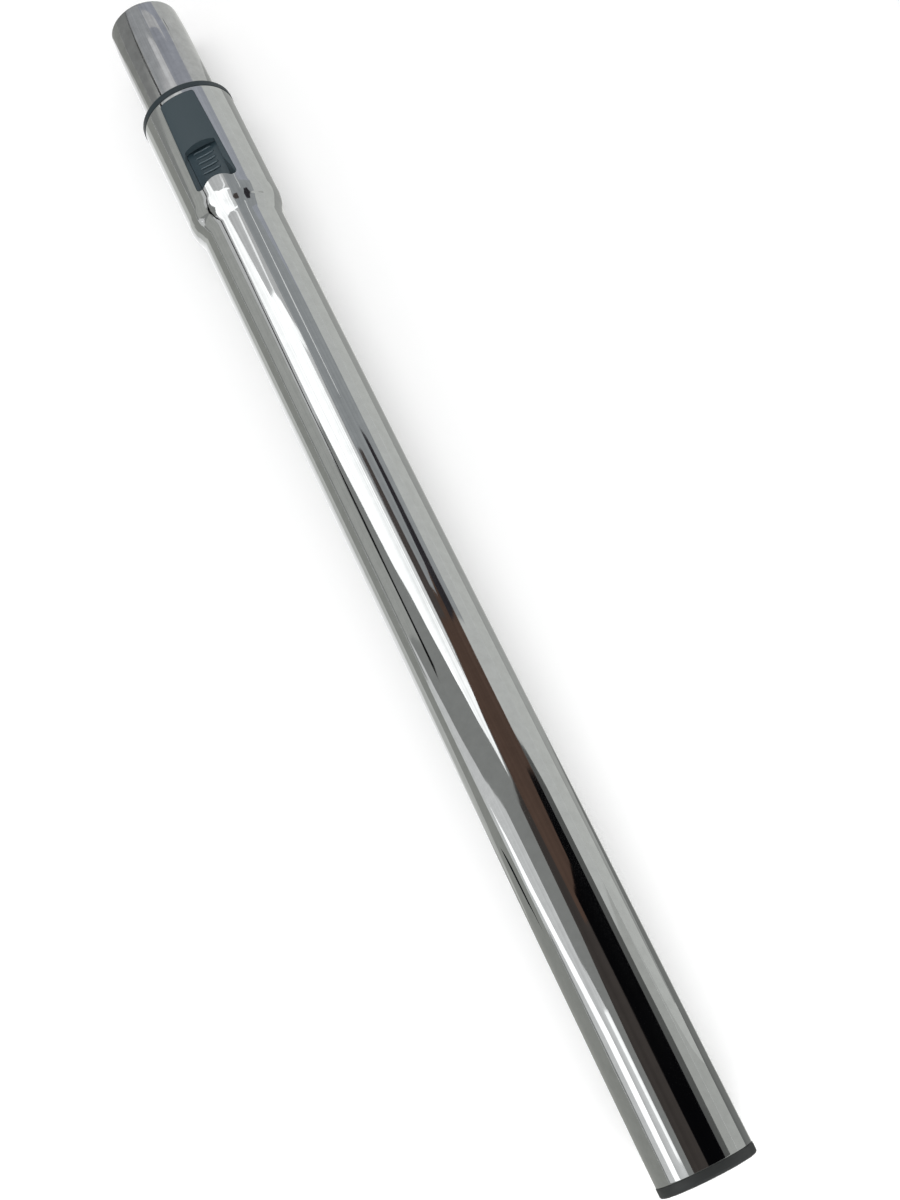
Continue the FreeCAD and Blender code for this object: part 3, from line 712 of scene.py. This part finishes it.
paper = blank("white_paper")
seen = seen_rays(paper)
place = add(paper, "ShaderNodeTexCoord")
away = add(paper, "ShaderNodeVectorMath", [(0, place, "Object")], operation="LENGTH")
fill = add(paper, "ShaderNodeMapRange", [("Value", away, "Value")], in_From_Min=FILL_REACH[0],
           in_From_Max=FILL_REACH[1], in_To_Min=FILL_LEVEL[0], in_To_Max=FILL_LEVEL[1])
lift = add(paper, "ShaderNodeMath", [(0, seen, "Value"), (1, fill, "Result")], operation="MULTIPLY")
matt = add(paper, "ShaderNodeBsdfDiffuse", in_Color=colour("#EDEDED"))
glow = add(paper, "ShaderNodeEmission", [("Strength", lift, "Value")], in_Color=colour("#FFFFFF"))
both = add(paper, "ShaderNodeAddShader", [(0, matt, "BSDF"), (1, glow, "Emission")])
add(paper, "ShaderNodeOutputMaterial", [("Surface", both, "Shader")])
sheet = bmesh.new()
bmesh.ops.create_grid(sheet, x_segments=1, y_segments=1, size=FLOOR_HALF)
floor_mesh = bpy.data.meshes.new("paper_floor")
sheet.to_mesh(floor_mesh)
sheet.free()
paper_floor = bpy.data.objects.new("paper_floor", floor_mesh)
bpy.context.scene.collection.objects.link(paper_floor)
dress(paper_floor, paper)

room = bpy.data.worlds.new("pale_room")
bpy.context.scene.world = room
room.use_nodes = True
room.node_tree.nodes.clear()
level = add(room, "ShaderNodeMapRange", [("Value", seen_rays(room), "Value")], in_To_Min=ROOM_LEVEL[0],
            in_To_Max=ROOM_LEVEL[1])
sky = add(room, "ShaderNodeBackground", [("Strength", level, "Result")], in_Color=colour("#FFFFFF"))
add(room, "ShaderNodeOutputWorld", [("Surface", sky, "Background")])


def soft_lamp(name, centre, size, power):
    """A soft lamp that hangs level over the floor. The metal doesn't mirror it."""
    lamp = bpy.data.lights.new(name, "AREA")
    lamp.shape = "RECTANGLE"
    lamp.size, lamp.size_y = size
    lamp.energy = power
    obj = bpy.data.objects.new(name, lamp)
    obj.location = centre
    obj.visible_glossy = False
    bpy.context.scene.collection.objects.link(obj)


soft_lamp("tip_softbox", (-0.17, 0.515, 0.9), size=(0.65, 0.60), power=2.4)
soft_lamp("left_softbox", (-1.35, -0.235, 0.9), size=(1.2, 0.32), power=2.6)
soft_lamp("front_softbox", (0.10, -0.85, 0.4), size=(0.7, 0.4), power=7.0)


# Studio cards. Soft-edged boards overhead and on the table that only shiny surfaces see, as a photographer
# sets them round chromium plate to draw its bands. Their brightness changes in folds, which are about 30 mm
# wide and 500 mm long.
FOLDS_PER_M = (30, 2, 1)
FOLD_SHOWS = (0.3, 0.7)
FAR = 100000


def card(name, tint, strength, height, outline, feather, folds=0.12):
    """A glowing card at a height in metres, with its outline and soft edge in millimetres of the drawing."""
    bm = bmesh.new()
    cover = bm.verts.layers.float.new("cover")
    sheet = bm.faces.new([bm.verts.new((x / 1000, (y - HALF_LENGTH) / 1000, height)) for x, y in outline])
    bmesh.ops.inset_region(bm, faces=[sheet], thickness=feather / 1000, use_boundary=True,
                           use_even_offset=True)
    for v in sheet.verts:
        v[cover] = 1.0
    mesh = bpy.data.meshes.new(name)
    bm.to_mesh(mesh)
    bm.free()
    board = bpy.data.objects.new(name, mesh)
    bpy.context.scene.collection.objects.link(board)
    paint = blank(name + "_paint")
    edge = add(paint, "ShaderNodeAttribute", attribute_name="cover")
    fade = add(paint, "ShaderNodeMapRange", [("Value", edge, "Fac")], interpolation_type="SMOOTHSTEP")
    clear = add(paint, "ShaderNodeBsdfTransparent")
    place = add(paint, "ShaderNodeTexCoord")
    fold_way = add(paint, "ShaderNodeMapping", [("Vector", place, "Object")], in_Scale=FOLDS_PER_M)
    creases = add(paint, "ShaderNodeTexNoise", [("Vector", fold_way, "Vector")], in_Scale=1.0, in_Detail=3.0)
    level = add(paint, "ShaderNodeMapRange", [("Value", creases, "Fac")], in_From_Min=FOLD_SHOWS[0],
                in_From_Max=FOLD_SHOWS[1], in_To_Min=strength * (1 - folds), in_To_Max=strength * (1 + folds))
    glow = add(paint, "ShaderNodeEmission", [("Strength", level, "Result")], in_Color=colour(tint))
    both = add(paint, "ShaderNodeMixShader", [(0, fade, "Result"), (1, clear, "BSDF"), (2, glow, "Emission")])
    add(paint, "ShaderNodeOutputMaterial", [("Surface", both, "Shader")])
    dress(board, paint)
    board.visible_camera = False
    board.visible_diffuse = False
    board.visible_shadow = False
    board.visible_transmission = False


# A grey tent overhead, with a paler wall on the right.
card("tent_roof", "#A2A3A1", 1.0, 0.96, [(-FAR, -FAR), (FAR, -FAR), (FAR, FAR), (-FAR, FAR)], 100, folds=0)
card("right_wall_card", "#CECFCB", 1.0, 0.955,
     [(1300, -FAR), (FAR, -FAR), (FAR, FAR), (1300, FAR)], 900, folds=0)
card("right_wall_glow", "#E6E7E4", 1.0, 0.95, [(500, 80), (FAR, 11000), (FAR, FAR), (500, FAR)], 500, folds=0)

# Boards on the table at both sides, seen only in the metal. Pools of light are painted on them where the
# tent's light falls, and the wand's shadow is painted beside the tube on the right.
card("left_table_board", "#ACADA8", 1.0, 0.0004, [(-FAR, -FAR), (0, -FAR), (0, FAR), (-FAR, FAR)], 4, folds=0)
# Painted pools of light on the table near the tube's left side.
card("left_table_light_pool", "#DCDDD9", 1.0, 0.0006, [(-94, 210), (-36, 110), (-36, 600), (-94, 600)], 16)
card("left_table_glow", "#FFFFFF", 1.12, 0.0008, [(-52, 250), (-4, 20), (-4, 600), (-52, 600)], 18)
card("table_mark", "#202224", 1.0, 0.001, [(-152, 116), (-104, 126), (-92, 152), (-136, 148)], 8)
card("right_table_board", "#D2D3CF", 1.0, 0.0003, [(0, -FAR), (FAR, -FAR), (FAR, FAR), (0, FAR)], 4, folds=0)
card("right_table_glow", "#E6E7E3", 1.0, 0.0005, [(20, 30), (FAR, 9000), (FAR, FAR), (20, FAR)], 110, folds=0)
# Painted shadow of the wand on the table: paler along the tube, darker near its lower end.
card("right_table_pale_shadow", "#BABBB8", 1.0, 0.0006, [(27, 60), (64, 60), (64, 560), (27, 560)], 14)
card("right_table_shade", "#868785", 1.0, 0.0007, [(27, -30), (64, -30), (64, 30), (27, 190)], 14)

# White sheets and strip lamps over the left side.
card("far_left_card", "#C4C5C1", 1.0, 0.42,
     [(-4300, 1560), (-542, 428), (-503, 638), (-352, 640), (-283, 800), (-283, 980), (-700, 1150),
      (-4300, 3400)], 40)
card("left_far_sheet", "#F4F5F4", 1.0, 0.41,
     [(-4000, 480), (-40000, 3800), (-40000, 11600), (-4000, 1350)], 120, folds=0)
card("left_sheet", "#FFFFFF", 0.95, 0.40,
     [(-4100, -540), (-259, -160), (-259, 66), (-346, 123), (-371, 242), (-599, 300), (-938, 404),
      (-2270, 930), (-4100, 1530)], 25)
card("left_streak", "#FFFFFF", 2.2, 0.39,
     [(-1078, -240), (-539, -180), (-560, 74), (-787, 166), (-1017, 232), (-2489, 623), (-3326, 527),
      (-1307, 150), (-1078, 79)], 40)
card("second_streak", "#FFFFFF", 1.8, 0.388, [(-352, -20), (-258, -20), (-258, 82), (-352, 84)], 24)

# Paler cards over the bell and the tip.
card("bell_glow", "#FFFFFF", 0.80, 0.37, [(-440, 560), (90, 530), (96, 800), (-50, 830), (-420, 960)], 40)
card("inner_sheet", "#C4C6C8", 1.0, 0.368, [(-260, 830), (140, 800), (140, 1050), (-260, 1100)], 40)
card("inner_glow", "#FFFFFF", 0.95, 0.365, [(-40, 740), (90, 740), (80, 840), (-30, 840)], 32)
card("blue_grey_card", "#B4B7B9", 1.0, 0.36, [(84, 310), (713, 464), (713, 1321), (98, 906)], 14)
card("violet_card", "#BFC2CB", 1.0, 0.359, [(90, 740), (740, 840), (740, 1500), (90, 1100)], 60)
card("tip_glow", "#FFFFFF", 0.80, 0.358, [(100, 862), (360, 960), (360, 1040), (100, 940)], 32)

# The white sheet that draws the broad bright band, and the brown and black cards beside it.
card("white_sheet", "#FFFFFF", 2.0, 0.35,
     [(-20, 222), (40, 280), (76, 347), (76, 470), (84, 560), (25, 586), (-54, 586), (-100, 650), (-141, 740),
      (-220, 730), (-256, 525), (-222, 432), (-146, 340), (-66, 262)], 12, folds=0.3)
card("white_edge", "#FFFFFF", 1.0, 0.349, [(34, 276), (80, 350), (80, 470), (84, 540), (42, 545)], 8)
card("dim_card", "#6C6D6B", 1.0, 0.347, [(330, -160), (720, -160), (720, 290), (360, 290)], 60)
card("dusk_card", "#4E4845", 1.0, 0.345,
     [(-140, -160), (100, -160), (100, 212), (25, 226), (-60, 204), (-88, 121), (-140, 52)], 30)
card("brown_card", "#645046", 1.0, 0.34,
     [(30, 125), (249, 134), (288, 196), (404, 238), (432, 420), (262, 396), (199, 360), (92, 360), (62, 305),
      (28, 265), (6, 219)], 14)
card("right_prong_card", "#38363A", 1.0, 0.336, [(246, 346), (426, 395), (380, 540), (300, 520)], 18)
card("left_prong_card", "#5A5350", 1.0, 0.335, [(66, 326), (154, 334), (146, 462), (98, 456)], 14)
card("black_card", "#0B0B0D", 1.0, 0.33,
     [(64, -160), (404, -160), (404, 252), (262, 236), (208, 168), (70, 142)], 14)

# Thin dark strips and thin lamps, nearest the wand, that draw the fine lines.
card("dark_line_card", "#161616", 1.0, 0.325,
     [(-424, 350), (-336, 340), (-304, 520), (-240, 660), (-250, 760), (-276, 764), (-268, 664),
      (-346, 530)], 6)
card("inner_side_line", "#26272A", 1.0, 0.324, [(930, 1425), (1060, 1500), (1060, 1620), (930, 1500)], 15)
card("inner_line", "#0C0C0C", 1.0, 0.323,
     [(-270, 820), (-284, 876), (-286, 884), (-250, 900), (-180, 980), (-200, 1010), (-262, 940), (-304, 918),
      (-330, 900), (-330, 880), (-310, 820)], 4, folds=0)
card("thin_lamp_near", "#FFFFFF", 1.6, 0.322, [(8, 570), (24, 570), (54, 665), (38, 665)], 4)
card("thin_lamp_far", "#FFFFFF", 1.2, 0.321, [(212, 520), (226, 520), (246, 730), (230, 730)], 4)


# Camera. It stands over the lower third of the wand and looks along it towards the tip. Its place and turn
# were fitted to the outlines in the photo, for a lens of 45 mm.
CAMERA_PLACE = (0.03706, -0.2380, 0.61126)
CAMERA_RIGHT = (0.88768, -0.42304, -0.18185)
CAMERA_UP = (0.45823, 0.85046, 0.25832)
CAMERA_BACK = (0.04538, -0.31263, 0.94880)
CAMERA_LENS = 45.0
CAMERA_SENSOR = 36.0
CAMERA_CLIP = 0.01
lens = bpy.data.cameras.new("camera")
lens.sensor_fit = "AUTO"
lens.sensor_width = CAMERA_SENSOR
lens.lens = CAMERA_LENS
lens.clip_start = CAMERA_CLIP
camera = bpy.data.objects.new("camera", lens)
turn = Matrix((CAMERA_RIGHT, CAMERA_UP, CAMERA_BACK)).transposed().to_4x4()
camera.matrix_world = Matrix.Translation(CAMERA_PLACE) @ turn
bpy.context.scene.collection.objects.link(camera)
bpy.context.scene.camera = camera
bpy.context.scene.view_settings.view_transform = "Standard"
